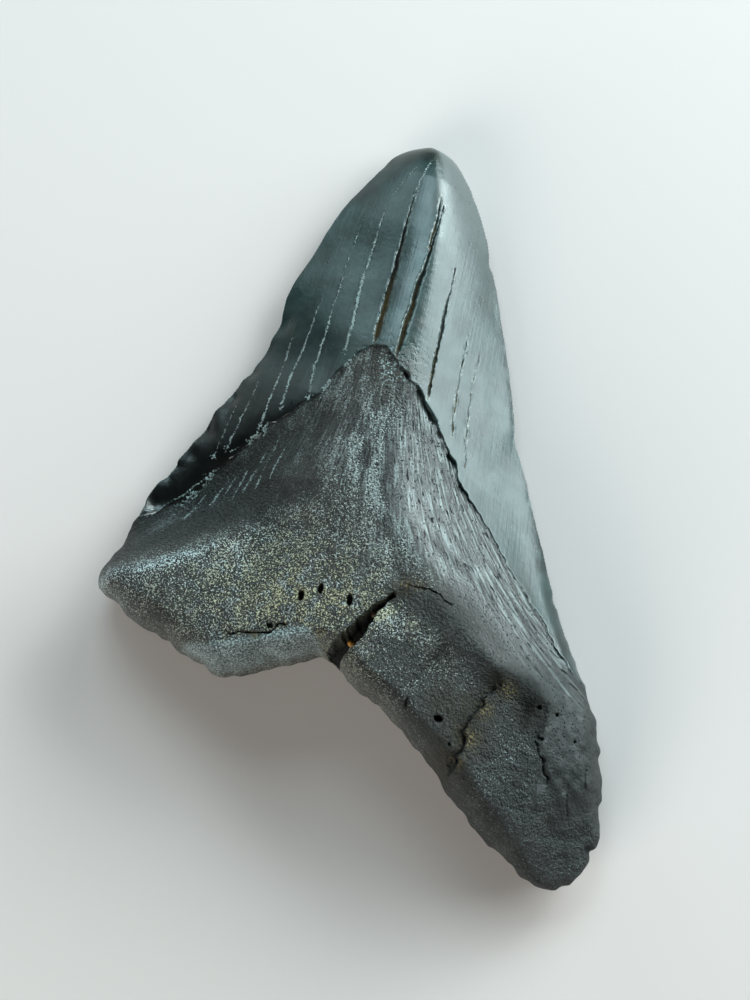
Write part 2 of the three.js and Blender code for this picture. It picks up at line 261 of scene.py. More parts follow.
def beside(path, points):
    """Distance from a plan path, and the share of the path's length at the nearest place."""
    path = np.array(path, float)
    lengths = np.linalg.norm(np.diff(path, axis=0), axis=1)
    starts = np.concatenate([[0], np.cumsum(lengths)])
    best = np.full(len(points), 1e9)
    share = np.zeros(len(points))
    for start, end, length, run in zip(path[:-1], path[1:], lengths, starts):
        along = np.clip((points - start) @ (end - start) / length**2, 0, 1)
        away = np.linalg.norm(points - start - along[:, None] * (end - start), axis=1)
        nearer = away < best
        best[nearer] = away[nearer]
        share[nearer] = (run + along[nearer] * length) / starts[-1]
    return best, share


def lattice(corner, seed):
    """A fixed number from -1 to 1 for each whole-number corner."""
    hashed = corner[:, 0] * 73856093 ^ corner[:, 1] * 19349663 ^ corner[:, 2] * 83492791 ^ seed * 2654435
    hashed = (hashed ^ hashed >> 13) * 1274126177 & 0xFFFFFFFF
    return (hashed ^ hashed >> 16 & 0xFFFF) % 65536 / 32768 - 1


def lumps(points, size, seed):
    """Smooth three-way noise from -1 to 1 whose lumps are about size millimetres."""
    scaled = points / size
    floor = np.floor(scaled).astype(np.int64)
    part = scaled - floor
    part = part * part * (3 - 2 * part)
    total = np.zeros(len(points))
    for corner in np.ndindex(2, 2, 2):
        weight = np.prod(np.where(corner, part, 1 - part), axis=1)
        total += weight * lattice(floor + corner, seed)
    return total


def flat_points(plan):
    return np.column_stack([plan, np.zeros(len(plan))])


# ---------------------------------------------------------------- the body's shape


def plan_points(u, t):
    """Plan place of shares u (left to right) and t (tip to base), the width there, and the way to the rim."""
    left, right = left_edge.at(t), right_edge.at(t)
    chord = mix(BASE_EDGE[0] * np.ones((len(u), 2)), np.array(BASE_EDGE[-1]), u[:, None])
    bow = (base_edge.at(u) - chord) * t[:, None] ** 3
    plan = mix(left, right, u[:, None]) + bow
    width = np.linalg.norm(right - left, axis=1)
    rim = np.minimum(np.minimum(u, 1 - u) * width, (1 - t) * BASE_REACH)
    for x, y, radius, depth in CHIPS:
        inward = np.array([2, mix(y, 30, 0.4)]) - (x, y)
        inward = inward / np.linalg.norm(inward)
        reach = np.exp(-(np.linalg.norm(plan - (x, y), axis=1) / radius) ** 2)
        plan = plan + depth * reach[:, None] * inward
    ragged = lumps(flat_points(plan), 1.6, 3) * mix(0.1, 0.4, ease(0.45, 0.85, t))
    ragged += lumps(flat_points(plan), 5, 4) * 0.2
    outward = np.column_stack([np.clip(6 * u - 3, -1, 1) * (1 - ease(0.9, 1, t)), -ease(0.9, 1, t)])
    plan = plan + outward * (ragged * np.exp(-rim / 1.5))[:, None]
    return plan, width, rim


def round_over(distance, radius):
    return np.sqrt(1 - (1 - np.minimum(distance / radius, 1)) ** 2)


def root_round(u, t, width):
    right_radius = mix(*ROOT_RIGHT_ROUND, ease(0.76, 0.95, t))
    sides = round_over(u * width, ROOT_LEFT_ROUND) * round_over((1 - u) * width, right_radius)
    return sides * round_over((1 - t) * BASE_REACH, ROOT_BASE_ROUND)


def rim_height(t):
    return mix(CROWN_RIM, ROOT_RIM, ease(0.72, 0.95, t))


def swell_height(plan):
    total = np.zeros(len(plan))
    for x, y, along, across, turn, height in SWELLS.values():
        turn = np.radians(turn)
        dx, dy = (plan - (x, y)).T
        lengthwise = (dx * np.cos(turn) + dy * np.sin(turn)) / along
        crosswise = (dy * np.cos(turn) - dx * np.sin(turn)) / across
        total += height * np.exp(-(lengthwise**2) - crosswise**2)
    for path, width, height, sharp in FOLDS.values():
        away, share = beside(path, plan)
        rounded, crested = np.exp(-((away / width) ** 2)), np.exp(-np.sqrt(away**2 + 0.4) / width)
        total += height * mix(rounded, crested, sharp) * ease(0, 0.1, share) * ease(1, 0.88, share)
    return total


def across_share(u, t):
    crest = table(CREST_PLACE, t)
    return np.where(u < crest, (crest - u) / crest, (u - crest) / (1 - crest))


def enamel_reach(plan, domed):
    """Millimetres inside (plus) or outside (minus) the enamel's lower edge."""
    reach = np.zeros(len(plan))
    wobble = lumps(flat_points(plan), 1.1, 11) * 0.25 + lumps(flat_points(plan), 3, 12) * 0.25
    wobble += lumps(flat_points(plan), 2, 13) * 0.5 * ease(0, -6, plan[:, 0])
    for line, chosen in ((ENAMEL_EDGE, domed), (BACK_ENAMEL_EDGE, ~domed)):
        away, _ = beside(line, plan[chosen])
        above = plan[chosen, 1] > np.interp(plan[chosen, 0], *np.array(line).T)
        reach[chosen] = np.where(above, away, -away)
    return reach + wobble


def crown_fan(plan):
    """Position across the fine lines that run down the enamel."""
    return (plan[:, 0] - 12) * np.exp(0.0055 * (plan[:, 1] - 50))


def root_fan(plan):
    """Position across the fine lines that spread over the neck of the root."""
    return (plan[:, 0] + 1) * np.exp(0.03 * (plan[:, 1] - 35))


def neck_share(plan, enamel):
    """1 in the streaked band below the enamel, 0 away from it."""
    reach = table(NECK_REACH, plan[:, 0])
    return ease(0.2, -0.4, enamel) * ease(-reach, -reach * 0.45, enamel)


def crack_width(share):
    """Cracks open slowly from their first end and close quickly at the other."""
    return ease(-0.05, 0.75, share) * ease(1, 0.93, share)


def crack_inside(cracks, plan, jitter):
    """How far inside the nearest crack each point is, in mm, and that crack's share of its length."""
    inside = np.full(len(plan), -9.0)
    place = np.zeros(len(plan))
    for path, half, *_ in cracks.values():
        away, share = beside(path, plan)
        here = 1.35 * half * crack_width(share) - away + jitter
        nearer = here > inside
        inside[nearer] = here[nearer]
        place[nearer] = share[nearer]
    return inside, place


def crack_depth(cracks, plan, jitter):
    """How deep the cracks cut at each point, in mm."""
    total = np.zeros(len(plan))
    for path, half, depth in cracks.values():
        away, share = beside(path, plan)
        width = crack_width(share)
        reach = np.maximum(1.35 * half * width + 0.1 + jitter, 0.07)
        total = np.maximum(total, 1.2 * depth * width**0.7 * np.exp(-((away / reach) ** 2)))
    return total


def matte_share(plan):
    """1 on the dull end of the right lobe."""
    return ease(14, 38, plan @ (0.75, -0.66))


def spots(rows, plan):
    """Round soft spots: the highest of them at each point. A row is x, y, radius and perhaps an amount."""
    total = np.zeros(len(plan))
    for x, y, radius, *amount in rows:
        away = np.hypot(plan[:, 0] - x, plan[:, 1] - y)
        total = np.maximum(total, (amount or [1])[0] * np.exp(-(away**2) / radius**2))
    return total


def colour_marks(u, t, plan, side, enamel):
    """Where the surface is worn, matte, stained or flaky, and where shade, highlights, glints and a
    reflection are painted on, from 0 to 1.
    """
    shelf_away, shelf_share = beside(SHELF_RIDGE, plan)
    below_shelf = (plan[:, 1] < np.interp(plan[:, 0], *np.array(SHELF_RIDGE[:-1]).T)) & (plan[:, 0] < 38)
    shelf_side = np.where(below_shelf, -shelf_away, np.minimum(shelf_away, 4))
    worn = ease(0, 0.12, u - table(CREST_PLACE, t)) * ease(1, 0.88, t) * ease(-1.2, 1.5, shelf_side)
    # Painted shade below the shelf ridge: fewer pale flecks, more dark pits and a duller finish there.
    shade = ease(-5.5, -1, shelf_side) * ease(1.2, -0.4, shelf_side) * ease(0, 0.2, shelf_share)

    # Loose pale flakes gather along the enamel's left edge, at the ends of its cracks and round its apex.
    edge_flakes = ease(1.1, 0.2, np.abs(enamel)) * ease(-2, -7, plan[:, 0]) * ease(-38, -32, plan[:, 0])
    edge_flakes *= ease(-0.5, 0.3, lumps(flat_points(plan), 2.4, 51))
    apex_away = np.hypot((plan[:, 0] - 1.2) / 5, (plan[:, 1] - 49.5) / 5)
    flaky = np.maximum(1.05 * edge_flakes, 0.8 * np.exp(-(apex_away**2)))
    for path, _ in PALE_CRACKS.values():
        end_away = np.hypot(plan[:, 0] - path[-1][0], (plan[:, 1] - path[-1][1] - 0.3) / 1.6)
        flaky = np.maximum(flaky, 0.9 * np.exp(-((end_away / 0.8) ** 2)))

    # Painted shade: the hollow above the left lobe's ridge, the enamel's left corner and the shade spots are
    # painted darker and made duller.
    above_ridge = plan[:, 1] - 27.6 - 0.54 * plan[:, 0]
    painted_shade = ease(60, 38, plan[:, 1]) * ease(0, -14, plan[:, 0]) * ease(-2, 5, above_ridge)
    painted_shade = np.maximum(painted_shade, spots(PAINTED_SHADE_SPOTS, plan))

    band_away, _ = beside([(-23, -5.6), (-16, -4.6), (-9, -2.2), (-4, 0)], plan)
    # Painted highlight: pale bluish flecks along the left lobe's ridge and in a soft spot near its upper end.
    ridge_away, ridge_share = beside(LOBE_RIDGE, plan)
    painted_highlight = np.exp(-((ridge_away / 1.7) ** 2)) * ease(1, 0.5, ridge_share)
    painted_highlight = np.maximum(painted_highlight, 0.4 * np.exp(-(np.hypot(plan[:, 0] + 21, plan[:, 1] - 17) / 6) ** 2))
    # Painted glints: denser pale flecks along the left lobe's ridge and on the cleft's lip.
    lip_away = np.hypot((plan[:, 0] - 9) / 3.6, (plan[:, 1] - 7) / 2.6)
    dull_corner = ease(-32, -36, plan[:, 0]) * ease(14, 18, plan[:, 1])
    shown = side >= 0
    return {
        "worn": worn * shown,
        "shade": shade * shown,
        "painted_shade": painted_shade * shown,
        "stain": spots(STAINS, plan) * shown,
        "gold": spots(GOLD_SPOTS, plan) * shown,
        "flaky": flaky * shown,
        "painted_highlight": painted_highlight * shown,
        "painted_glints": np.maximum(painted_highlight, 0.9 * np.exp(-(lip_away**2))) * shown,
        "apex": np.exp(-(apex_away**2)) * shown,
        "warm": np.exp(-(((plan[:, 0] + 5) / 24) ** 2) - ((plan[:, 1] - 8) / 13) ** 2) * shown,
        "lip": ease(3.6, 2.6, band_away),
        # Painted reflection: the enamel right of the crest towards the tip is painted paler.
        "painted_reflection": ease(58, 84, plan[:, 1]) * ease(0.03, 0.16, u - table(CREST_PLACE, t)) * shown,
        "matte": np.where(shown, np.maximum(matte_share(plan), dull_corner), 0.5),
    }


def roof(across, roundness):
    """1 on the crest, 0 at the rim; nearly straight sides under a rounded top."""
    far = np.sqrt(1 + roundness**2) - roundness
    return 1 - (np.sqrt(across**2 + roundness**2) - roundness) / far


def body_heights(u, t, plan, width):
    """Smooth heights of the domed side and of the flat side."""
    across = across_share(u, t)
    left = u < table(CREST_PLACE, t)
    round_share = root_round(u, t, width)
    blunt = ease(0.3, 0, t)
    crown_rise = roof(across, np.where(left, mix(LEFT_ROUND, 1, blunt), mix(RIGHT_ROUND, 0.9, blunt)))
    root_rise = np.where(left, 1 - 0.42 * across**1.8, 1 - 0.62 * across**1.35) * round_share
    in_root = np.where(left, ease(mix(0.5, 0.82, across), mix(0.8, 1, across), t), ease(0.5, 0.82, t))
    rise = mix(crown_rise, root_rise, in_root)
    dome = rim_height(t) + table(CREST, t) * rise + swell_height(plan) * round_share * ease(0.4, 0.7, t)

    back_across = np.maximum(0, (np.abs(2 * u - 1) - 0.5) / 0.5)
    back_sides = mix(back_across**2, 1 - round_share, ease(0.6, 0.85, t))
    neck = np.hypot((plan[:, 0] - 3) / 17, (plan[:, 1] - 27) / 7)
    back = rim_height(t) * np.maximum(back_sides, 1 - ease(0, 0.1, t)) + 0.8 * (1 - ease(0, 1, neck))
    return dome, back


def tooth_surface(u, t, side):
    """Places, wanted mesh edges and marks at shares u and t; side is 1 on the dome, 0 on the rim, else -1."""
    plan, width, rim = plan_points(u, t)
    flat = flat_points(plan)
    dome, back = body_heights(u, t, plan, width)
    domed = side > 0
    inner = ease(0, 1.2, rim)
    enamel = enamel_reach(plan, side >= 0)
    jitter = lumps(flat, 0.5, 21) * 0.06 + lumps(flat, 1.7, 22) * 0.07
    wander = np.column_stack([lumps(flat, 1.3, 23), lumps(flat, 1.3, 24)])
    open_inside, open_place = crack_inside(OPEN_CRACKS, plan + wander * 0.1, jitter)
    pale_inside, _ = crack_inside({**PALE_CRACKS, **NECK_SCRATCHES}, plan + wander * 0.12, jitter)
    root_inside, _ = crack_inside(ROOT_CRACKS, plan + wander * 0.6, jitter * 1.5)
    neck = neck_share(plan, enamel)

    # The enamel stands above the root, with a ragged gap under its edge right of the apex.
    dome += 0.3 * ease(-0.12, 0.14, enamel)
    gap = ease(1, 4, plan[:, 0]) * ease(21, 11, plan[:, 0]) * ease(-0.5, 0.6, lumps(flat, 1.6, 15))
    dome -= (0.07 + 0.75 * gap) * np.exp(-(((enamel + 0.3) / mix(0.22, 0.5, gap)) ** 2)) * inner
    dome += 0.07 * lumps(flat, 6, 31) * inner * ease(0.02, 0.2, t)
    crown_lines = np.column_stack([crown_fan(plan) / 1.8, plan[:, 1] / 12, np.zeros(len(u))])
    dome += 0.03 * lumps(crown_lines, 1, 32) * ease(-0.2, 0.3, enamel) * inner
    neck_lines = np.column_stack([root_fan(plan) / 1.3, plan[:, 1] / 8, np.zeros(len(u))])
    dome += 0.16 * lumps(neck_lines, 1, 33) * neck * inner

    # Lumps of the root.
    colours = colour_marks(u, t, plan, side, enamel)
    root_share = ease(0, -1.5, enamel) * (1 - 0.75 * colours["worn"]) * inner
    matte = matte_share(plan)
    dome += root_share * (0.3 * lumps(flat, 7, 34) + 0.16 * lumps(flat, 2.6, 35) + 0.09 * lumps(flat, 1, 36))
    dome += (0.3 * lumps(flat, 1.6, 37) + 0.3 * lumps(flat, 3.5, 40)) * matte * inner

    # Cracks.
    crown_cracks = crack_depth(OPEN_CRACKS, plan + wander * 0.1, jitter)
    root_cracks = crack_depth(ROOT_CRACKS, plan + wander * 0.6, jitter * 1.5) * inner
    rough_lip = ease(-0.5, -0.2, open_inside) * ease(0, -0.15, open_inside) * lumps(flat, 0.7, 38)
    dome += 0.08 * rough_lip + 0.07 * lumps(flat, 0.5, 39) * ease(-0.25, 0.1, pale_inside)
    dome -= np.maximum(crown_cracks, root_cracks) * domed

    # The ground left of the stepped crack has dropped.
    step_path = np.array(STEP_PATH)[::-1]
    step_away, step_share = beside(step_path, plan + wander * 0.6)
    step_left = plan[:, 0] < np.interp(plan[:, 1], step_path[:, 1], step_path[:, 0])
    drop = step_left * np.exp(-step_away / 3.5) * ease(0, 0.4, step_away) * ease(0, 0.15, step_share)
    dome -= 1.2 * drop * ease(1, 0.85, step_share) * inner

    pit_near = np.full(len(plan), 9.0)
    for x, y, half_length, half_width, depth in PITS:
        away = np.hypot((plan[:, 0] - x) / half_width, (plan[:, 1] - y) / half_length) + jitter * 3
        dome -= depth * ease(1.2, 0.5, away) * domed
        pit_near = np.minimum(pit_near, away - 0.6)

    cleft_away, cleft_share = beside(CLEFT_PATH, plan + wander * 0.15)
    half = np.interp(cleft_share * (len(CLEFT_HALF) - 1), range(len(CLEFT_HALF)), CLEFT_HALF)
    cleft = ease(0.2, -0.2, cleft_away - half + jitter * 2) * domed
    dome += 0.5 * np.exp(-(((cleft_away - half) / 1.4) ** 2)) * inner * ease(1, 0.8, cleft_share)
    floor = mix(*CLEFT_FLOOR, cleft_share) + 0.5 * lumps(flat, 0.8, 41)
    dome = mix(dome, np.minimum(dome, floor), cleft)

    # Saw edge along the crown's cutting rims.
    saw = np.abs((plan[:, 1] * 1.55) % 1 - 0.5) - 0.25
    saw_zone = np.exp(-rim / 0.5) * ease(6, 12, plan[:, 1] - 8 * (u < 0.5)) * ease(92, 88, plan[:, 1])
    saw_shift = np.sign(u - 0.5) * saw * 0.3 * saw_zone * mix(1, 0.4, u < 0.5)
    plan = plan + np.column_stack([saw_shift, np.zeros(len(u))])

    height = np.where(side >= 0, dome, back)
    near = np.minimum.reduce([
        np.abs(enamel), -root_inside, 0.4 - pale_inside, np.abs(cleft_away - half) * 0.6, rim * 1.2, pit_near,
    ])
    wanted = np.minimum(mix(0.22, 0.62, ease(0.3, 1.4, near)), mix(0.13, 0.62, ease(0.3, 1.3, -open_inside)))
    wanted = np.where(side < 0, mix(0.3, 1.7, ease(0.5, 4, rim * 0.8)), wanted)
    marks = {
        "enamel": enamel,
        "crown_fan": crown_fan(plan),
        "root_fan": root_fan(plan),
        "run": plan[:, 1],
        "neck": neck * (side >= 0),
        "open_crack": np.where(domed, open_inside, -9),
        "crack_place": open_place,
        "pale_crack": np.where(domed, pale_inside, -9),
        # Painted shade: the cleft and the root's deeper cracks are painted near black.
        "cavity_shade": np.maximum(cleft, ease(0.3, 0.9, root_cracks) * domed),
        **colours,
        "lip": colours["lip"] * ease(6, 15, height),
    }
    return np.column_stack([plan, height]), wanted, marks


# ---------------------------------------------------------------- building the tooth


def lay_surface(shell, layers):
    """Lays every vertex on the tooth; returns the points, their marks, and the edges that are too long."""
    u, t, side = (np.array([vertex[layer] for vertex in shell.verts]) for layer in layers)
    side = np.sign(np.round(side, 6))
    points, wanted, marks = tooth_surface(np.clip(u, 0, 1), np.clip(t, 0, 1), side)
    for vertex, point, value in zip(shell.verts, points, side):
        vertex.co = point
        vertex[layers[2]] = value
    shell.verts.index_update()
    shell.edges.ensure_lookup_table()
    ends = np.array([[edge.verts[0].index, edge.verts[1].index] for edge in shell.edges])
    spans = points[ends[:, 0]] - points[ends[:, 1]]
    wanted = wanted[ends].mean(axis=1) * 1
    steep_enough = np.linalg.norm(spans[:, :2], axis=1) > 0.4 * wanted
    excess = np.where(steep_enough, np.linalg.norm(spans, axis=1) / wanted, 0)
    longest_first = np.argsort(-excess)
    return points, marks, longest_first[: np.count_nonzero(excess > 1.4)]


TRIANGLE_LIMIT = 196000


def build_tooth():
    shell = bmesh.new()
    bmesh.ops.create_grid(shell, x_segments=24, y_segments=32, size=0.5)
    for vertex in shell.verts:
        inside = max(abs(vertex.co.x), abs(vertex.co.y)) < 0.499
        vertex.co.z = 0.1 if inside else 0
    twin = bmesh.ops.duplicate(shell, geom=shell.verts[:] + shell.edges[:] + shell.faces[:])["geom"]
    for vertex in (part for part in twin if isinstance(part, bmesh.types.BMVert)):
        vertex.co.z = -vertex.co.z
    bmesh.ops.reverse_faces(shell, faces=[part for part in twin if isinstance(part, bmesh.types.BMFace)])
    bmesh.ops.remove_doubles(shell, verts=shell.verts, dist=1e-4)
    corners = [v for v in shell.verts if abs(v.co.x) > 0.499 and abs(v.co.y) > 0.499]
    bmesh.ops.poke(shell, faces=list({face for v in corners for face in v.link_faces}))
    bmesh.ops.triangulate(shell, faces=shell.faces)

    layers = [shell.verts.layers.float.new(name) for name in ("share_u", "share_t", "side")]
    for vertex in shell.verts:
        shares = vertex.co.x + 0.5, 0.5 - vertex.co.y, np.sign(round(vertex.co.z, 4))
        for layer, value in zip(layers, shares):
            vertex[layer] = value

    points, marks, long = lay_surface(shell, layers)
    for _ in range(9):
        long = long[: (TRIANGLE_LIMIT - len(shell.faces)) // 2]
        if not len(long):
            break
        bmesh.ops.subdivide_edges(shell, edges=[shell.edges[i] for i in long], cuts=1, use_single_edge=True)
        bmesh.ops.triangulate(shell, faces=[face for face in shell.faces if len(face.verts) > 3])
        points, marks, long = lay_surface(shell, layers)

    mesh = bpy.data.meshes.new("tooth_surface")
    shift = np.array([*(-plan_centre), 0])
    for vertex, point in zip(shell.verts, points):
        vertex.co = (point + shift) / 1000
    mark_layers = {name: shell.verts.layers.float.new(name) for name in marks}
    for name, values in marks.items():
        for vertex, value in zip(shell.verts, values):
            vertex[mark_layers[name]] = value
    bmesh.ops.remove_doubles(shell, verts=shell.verts, dist=1e-6)
    bmesh.ops.dissolve_degenerate(shell, edges=shell.edges, dist=1e-7)
    bmesh.ops.triangulate(shell, faces=[face for face in shell.faces if len(face.verts) > 3])
    bmesh.ops.recalc_face_normals(shell, faces=shell.faces)
    for face in shell.faces:
        face.smooth = True
    for edge in shell.edges:
        edge.smooth = not all(vertex[layers[2]] == 0 and vertex[layers[1]] < 0.78 for vertex in edge.verts)
    shell.to_mesh(mesh)
    shell.free()
    tooth = bpy.data.objects.new("fossil_tooth", mesh)
    bpy.context.scene.collection.objects.link(tooth)
    return tooth


tooth = build_tooth()


# ---------------------------------------------------------------- finishes


class Finish:
    """A procedural finish: a Principled surface and the nodes that feed it."""

    def __init__(self, name):
        self.material = bpy.data.materials.new(name)
        self.material.use_nodes = True
        self.nodes = self.material.node_tree.nodes
        self.links = self.material.node_tree.links
        self.surface = self.nodes["Principled BSDF"]
        place = self.nodes.new("ShaderNodeTexCoord").outputs["Object"]
        self.place = self.vector("SCALE", place, scale=1000)

    def feed(self, socket, value):
        if isinstance(value, bpy.types.NodeSocket):
            self.links.new(value, socket)
        elif value is not None:
            socket.default_value = value

    def mark(self, name):
        node = self.nodes.new("ShaderNodeAttribute")
        node.attribute_name = name
        return node.outputs["Fac"]

    def math(self, operation, a, b=None, c=None, clamp=False):
        node = self.nodes.new("ShaderNodeMath")
        node.operation = operation
        node.use_clamp = clamp
        for socket, value in zip(node.inputs, (a, b, c)):
            self.feed(socket, value)
        return node.outputs[0]

    def divide(self, mark, spacing):
        return self.math("DIVIDE", self.mark(mark), spacing)

    def vector(self, operation, a, b=None, scale=None):
        node = self.nodes.new("ShaderNodeVectorMath")
        node.operation = operation
        self.feed(node.inputs[0], a)
        self.feed(node.inputs[1], b)
        self.feed(node.inputs["Scale"], scale)
        return node.outputs[0]

    def join(self, x, y, z=0.0):
        node = self.nodes.new("ShaderNodeCombineXYZ")
        for socket, value in zip(node.inputs, (x, y, z)):
            self.feed(socket, value)
        return node.outputs[0]

    def noise(self, size, detail=2.0, place=None, distortion=0.0):
        """Noise from 0 to 1 with features about size millimetres across."""
        node = self.nodes.new("ShaderNodeTexNoise")
        self.feed(node.inputs["Vector"], place or self.place)
        node.inputs["Scale"].default_value = 1 / size
        node.inputs["Detail"].default_value = detail
        node.inputs["Distortion"].default_value = distortion
        return node.outputs["Fac"]

    def cells(self, size, output="Distance", place=None, randomness=1.0):
        node = self.nodes.new("ShaderNodeTexVoronoi")
        self.feed(node.inputs["Vector"], place or self.place)
        node.inputs["Scale"].default_value = 1 / size
        node.inputs["Randomness"].default_value = randomness
        return node.outputs[output]

    def ease(self, value, start, end, low=0.0, high=1.0):
        node = self.nodes.new("ShaderNodeMapRange")
        node.interpolation_type = "SMOOTHSTEP"
        names = "Value", "From Min", "From Max", "To Min", "To Max"
        for name, number in zip(names, (value, start, end, low, high)):
            self.feed(node.inputs[name], number)
        return node.outputs["Result"]

    def blend(self, share, a, b, mode="MIX"):
        node = self.nodes.new("ShaderNodeMix")
        node.data_type = "RGBA"
        node.blend_type = mode
        self.feed(node.inputs[0], share)
        self.feed(node.inputs[6], (*a, 1) if isinstance(a, tuple) else a)
        self.feed(node.inputs[7], (*b, 1) if isinstance(b, tuple) else b)
        return node.outputs[2]

    def bump(self, height, distance, normal=None, strength=1.0):
        node = self.nodes.new("ShaderNodeBump")
        node.inputs["Strength"].default_value = strength
        node.inputs["Distance"].default_value = distance / 1000
        self.feed(node.inputs["Height"], height)
        self.feed(node.inputs["Normal"], normal)
        return node.outputs["Normal"]


def tooth_finish():
    finish = Finish("black_fossil_tooth")
    run, neck, worn = finish.mark("run"), finish.mark("neck"), finish.mark("worn")
    matte, lip, cavity_shade = finish.mark("matte"), finish.mark("lip"), finish.mark("cavity_shade")
    painted_highlight, shade, painted_shade = finish.mark("painted_highlight"), finish.mark("shade"), finish.mark("painted_shade")
    flecks = finish.noise(0.35, 3)
    ragged = finish.math("SUBTRACT", flecks, 0.5)
    enamel = finish.ease(finish.math("MULTIPLY_ADD", ragged, 1.0, finish.mark("enamel")), -0.05, 0.05)
    bare = finish.math("SUBTRACT", 1.0, enamel)
    crown_lines = finish.noise(1, 3, finish.join(finish.divide("crown_fan", 0.32), finish.divide("run", 9)))
    neck_lines = finish.noise(1, 3, finish.join(finish.divide("root_fan", 0.38), finish.divide("run", 5)))
    broad_lines = finish.noise(1, 2, finish.join(finish.divide("root_fan", 2.2), finish.divide("run", 9)))
    dashes = finish.noise(1, 1, finish.join(finish.divide("root_fan", 0.4), finish.divide("run", 2.2)))
    dashes = finish.math("MULTIPLY", finish.ease(dashes, 0.66, 0.72), neck)
    holes = finish.math("MULTIPLY", finish.ease(finish.cells(0.62), 0.36, 0.2), finish.cells(0.62, "Color"))
    bored = finish.math("MULTIPLY", worn, bare)
    bored = finish.math("MULTIPLY", bored, finish.math("MULTIPLY_ADD", neck, -0.25, 1.0))
    holes = finish.math("MULTIPLY", holes, finish.math("MULTIPLY_ADD", shade, 0.5, bored))
    holes = finish.ease(holes, 0.42, 0.5)
    hollow = finish.math("MAXIMUM", dashes, holes)

    # Root: near black, covered in pale flecks where it isn't worn smooth; the flecks are pale grains, made
    # bright enough to serve as painted glints.
    clouds = finish.ease(finish.noise(7, 3), 0.35, 0.65)
    root = finish.blend(clouds, (0.004, 0.005, 0.0045), (0.010, 0.011, 0.009))
    # The base band is paler grey with bluish flecks: partly its own paler tone, partly painted sheen.
    lip_grain = finish.ease(finish.noise(0.4, 3), 0.36, 0.64)
    lip_colour = finish.blend(lip_grain, (0.03, 0.038, 0.038), (0.22, 0.275, 0.275))
    root = finish.blend(lip, root, lip_colour)
    stain, apex = finish.mark("stain"), finish.mark("apex")
    fleck_shape = finish.noise(0.27, 2.5, distortion=0.5)
    cover = finish.math("MULTIPLY", finish.math("SUBTRACT", broad_lines, 0.5), neck)
    patches = finish.math("MULTIPLY_ADD", finish.noise(3.5, 3), 0.2, -0.155)
    cover = finish.math("MULTIPLY_ADD", cover, 0.5, patches)
    for mark, change in (
        (finish.mark("painted_glints"), 0.07), (finish.mark("warm"), 0.04), (neck, 0.05), (worn, -0.14), (shade, -0.2),
        (painted_shade, -0.11), (matte, -0.05), (stain, -0.16), (apex, -0.12),
    ):
        cover = finish.math("MULTIPLY_ADD", mark, change, cover)
    fleck = finish.ease(finish.math("ADD", fleck_shape, cover), 0.505, 0.565)
    fleck = finish.math("MULTIPLY", fleck, finish.math("MULTIPLY_ADD", worn, -0.8, 1.0))
    warmth = finish.math("MULTIPLY", finish.mark("warm"), finish.ease(finish.noise(2, 2), 0.38, 0.52))
    fleck_colour = finish.blend(warmth, (0.43, 0.48, 0.46), (0.53, 0.50, 0.31))
    # Pale bluish flecks: painted highlight along the left lobe's ridge, painted sheen on the base band.
    fleck_colour = finish.blend(finish.math("MAXIMUM", painted_highlight, lip), fleck_colour, (0.56, 0.66, 0.68))
    fleck_colour = finish.blend(matte, fleck_colour, (0.17, 0.205, 0.21))
    fleck_colour = finish.blend(neck, fleck_colour, (0.38, 0.43, 0.42))
    # Painted shade: dim flecks in the hollow above the left ridge, the enamel's left corner and the shade
    # spots.
    fleck_colour = finish.blend(painted_shade, fleck_colour, (0.15, 0.185, 0.185))
    root = finish.blend(fleck, root, fleck_colour)
    pale = finish.ease(finish.math("MULTIPLY_ADD", ragged, 0.9, finish.mark("pale_crack")), -0.06, 0.06)
    pale = finish.math("MULTIPLY", pale, finish.ease(finish.noise(1.8, 2), 0.34, 0.48, 0.4, 1))
    pale_line = finish.math("MULTIPLY", finish.ease(neck_lines, 0.48, 0.66, 0, 0.9), neck)
    pale_line = finish.math("MULTIPLY", pale_line, finish.math("MULTIPLY_ADD", painted_shade, -0.8, 1.0))
    root = finish.blend(pale_line, root, (0.20, 0.23, 0.228))
    soot = finish.math("SUBTRACT", neck, worn, clamp=True)
    soot = finish.math("MULTIPLY", finish.ease(broad_lines, 0.5, 0.4, 0, 0.85), soot)
    root = finish.blend(soot, root, (0.004, 0.005, 0.005))
    brown = finish.math("MULTIPLY", stain, finish.ease(finish.noise(0.8, 3), 0.35, 0.6, 0.35, 1))
    root = finish.blend(brown, root, (0.030, 0.020, 0.008))
    gilt = finish.math("MULTIPLY", finish.mark("gold"), finish.ease(finish.noise(0.35, 3), 0.44, 0.62))
    root = finish.blend(gilt, root, (0.21, 0.155, 0.055))
    root = finish.blend(hollow, root, (0.003, 0.0035, 0.004))
    root = finish.blend(finish.math("MULTIPLY", pale, 0.95), root, (0.36, 0.44, 0.44))

    # Enamel: blue-black, cracked in pale and dark lines.
    veils = finish.ease(finish.noise(5, 4), 0.3, 0.7)
    enamel_colour = finish.blend(veils, (0.008, 0.020, 0.019), (0.024, 0.053, 0.051))
    fine_lines = finish.ease(crown_lines, 0.4, 0.75, 0, 0.35)
    enamel_colour = finish.blend(fine_lines, enamel_colour, (0.024, 0.036, 0.036))
    enamel_colour = finish.blend(finish.ease(run, 89, 94, 0, 0.5), enamel_colour, (0.035, 0.030, 0.018))
    # Painted shade: near-black enamel in its left corner.
    enamel_colour = finish.blend(painted_shade, enamel_colour, (0.002, 0.003, 0.0025))
